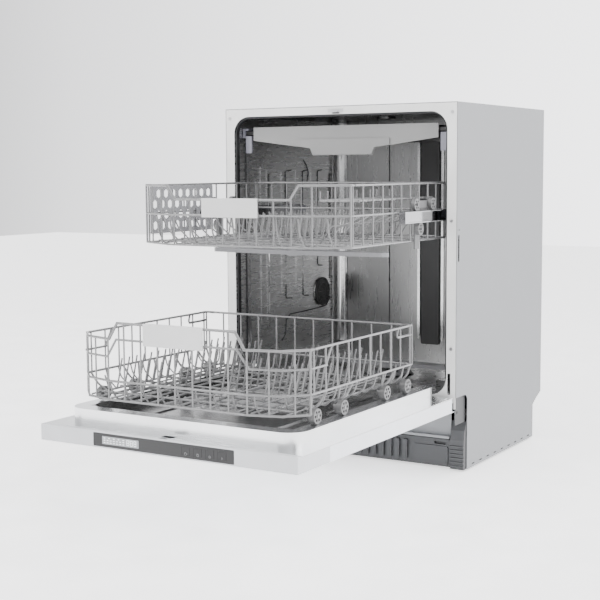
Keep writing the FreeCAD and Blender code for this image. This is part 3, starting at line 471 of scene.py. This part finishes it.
bm = bmesh.new()
rounded_plate(bm, -141.4, -53.3, 153.2, 168.4, -659.0, 0.4, 0.8)
add_mesh("display_lcd", bm, "door", "window_black", LCD, False)
SEGMENTS = {"8": "abcdefg"}
bm = bmesh.new()
for i, x in enumerate((-82, -73.5, -65)):
    w, h, t = 6.2, 10.6, 1.2
    z = 155.6
    bars = {"a": (0, h - t, w, t), "d": (0, 0, w, t), "g": (0, h / 2 - t / 2, w, t),
            "f": (0, h / 2, t, h / 2), "b": (w - t, h / 2, t, h / 2),
            "e": (0, 0, t, h / 2), "c": (w - t, 0, t, h / 2)}
    for key in SEGMENTS["8"]:
        bx, bz, bw, bh = bars[key]
        rounded_plate(bm, x + bx, x + bx + bw, z + bz, z + bz + bh, -659.05, 0.06, 0.3, 2)
for z in (158.2, 162.4):
    rounded_plate(bm, -75.4, -74.4, z, z + 1, -659.05, 0.06, 0.3, 2)
for row in (155.8, 160.2, 164.4):
    for x in steps(-138, -92, 7 if row < 164 else 5):
        rounded_plate(bm, x, x + 4.4, row, row + 1.3, -659.05, 0.06, 0.4, 2)
add_mesh("display_marks", bm, "door", "window_black", MARK, False)
for number, x in enumerate((56, 83, 110, 137), start=1):
    bm = bmesh.new()
    if number == 1:
        tube_into(bm, [at(x + 2.6 * math.cos(a), -659.02, 156 + 2.6 * math.sin(a)) for a in
                       [math.radians(120 + 300 * k / 12) for k in range(13)]], 0.00022, 5)
        tube_into(bm, [at(x, -659.02, 156.5), at(x, -659.02, 159.6)], 0.00022, 5)
    else:
        count = (0, 0, 8, 5, 3)[number]
        ring = [at(x + 2.4 * math.cos(a), -659.02, 156 + 2.4 * math.sin(a)) for a in
                [2 * math.pi * k / count for k in range(count)]]
        tube_into(bm, ring, 0.00022, 5, True)
    add_mesh("key_mark_%d" % number, bm, "key_%d" % number, "key_black", ICON)

# ------------------------------------------------------------------ stage, light, camera
floor_mesh = bpy.data.meshes.new("studio_floor")
fb = bmesh.new()
for x, y in ((-8, -8), (8, -8), (8, 8), (-8, 8)):
    fb.verts.new((x, y, -0.0005))
fb.faces.new(fb.verts)
fb.to_mesh(floor_mesh)
floor = bpy.data.objects.new("studio_floor", floor_mesh)
bpy.context.scene.collection.objects.link(floor)
floor_paint = moulded("studio_floor_paint", (0.90, 0.90, 0.90), 0.75, 40.0, 0.00001)
glow = floor_paint.node_tree.nodes["Principled BSDF"]
glow.inputs["Emission Color"].default_value = (1, 1, 1, 1)
glow.inputs["Emission Strength"].default_value = 1.3
floor.data.materials.append(floor_paint)

world = bpy.data.worlds.new("studio") if not bpy.context.scene.world else bpy.context.scene.world
bpy.context.scene.world = world
world.use_nodes = True
wn, wl = world.node_tree.nodes, world.node_tree.links
way = wn.new("ShaderNodeTexCoord")
turn = wn.new("ShaderNodeMapping")
turn.inputs["Rotation"].default_value = (0, 0, math.radians(35))
wl.new(way.outputs["Generated"], turn.inputs["Vector"])
parts = wn.new("ShaderNodeSeparateXYZ")
wl.new(turn.outputs["Vector"], parts.inputs["Vector"])
fade = wn.new("ShaderNodeValToRGB")
stops = fade.color_ramp.elements
while len(stops) < 5:
    stops.new(0.5)
for el, (pos, level) in zip(stops, ((0.0, 0.34), (0.40, 0.55), (0.52, 0.20), (0.62, 0.80), (0.86, 1.75))):
    el.position = pos
    el.color = (level, level, level * 1.02, 1)
shift = wn.new("ShaderNodeMapRange")
shift.inputs["From Min"].default_value = -1.0
wl.new(parts.outputs["Y"], shift.inputs["Value"])
wl.new(shift.outputs["Result"], fade.inputs["Fac"])
wl.new(fade.outputs["Color"], wn["Background"].inputs["Color"])
wn["Background"].inputs["Strength"].default_value = 2.4


def area(name, place, target, size, power, color=(1, 1, 1)):
    data = bpy.data.lights.new(name, "AREA")
    data.shape = "RECTANGLE"
    data.size, data.size_y = size
    data.energy = power
    data.color = color
    o = bpy.data.objects.new(name, data)
    o.location = place
    o.rotation_euler = (Vector(target) - Vector(place)).to_track_quat("-Z", "Y").to_euler()
    bpy.context.scene.collection.objects.link(o)
    return o


area("key", (-1.9, -2.8, 2.4), (0, 0, 0.4), (1.6, 1.6), 85)
area("fill", (2.9, -0.9, 1.7), (0, 0, 0.4), (1.4, 2.0), 34)
area("top", (0, -0.6, 3.0), (0, 0, 0.3), (2.5, 2.5), 45)

cam_data = bpy.data.cameras.new("cam")
cam_data.lens = 36 * 1258.57 / 600
cam = bpy.data.objects.new("cam", cam_data)
bpy.context.scene.collection.objects.link(cam)
yaw, pitch, roll = math.radians(31.2417), math.radians(5.9624), math.radians(-0.3727)
fwd = Vector((-math.sin(yaw) * math.cos(pitch), math.cos(yaw) * math.cos(pitch), -math.sin(pitch)))
right = Vector((math.cos(yaw), math.sin(yaw), 0))
up = right.cross(fwd)
r2 = math.cos(roll) * right + math.sin(roll) * up
u2 = -math.sin(roll) * right + math.cos(roll) * up
cam.matrix_world = Matrix((
    (r2.x, u2.x, -fwd.x, 1.4121),
    (r2.y, u2.y, -fwd.y, -2.48656 + BACK),
    (r2.z, u2.z, -fwd.z, 0.67479),
    (0, 0, 0, 1),
))
bpy.context.scene.camera = cam
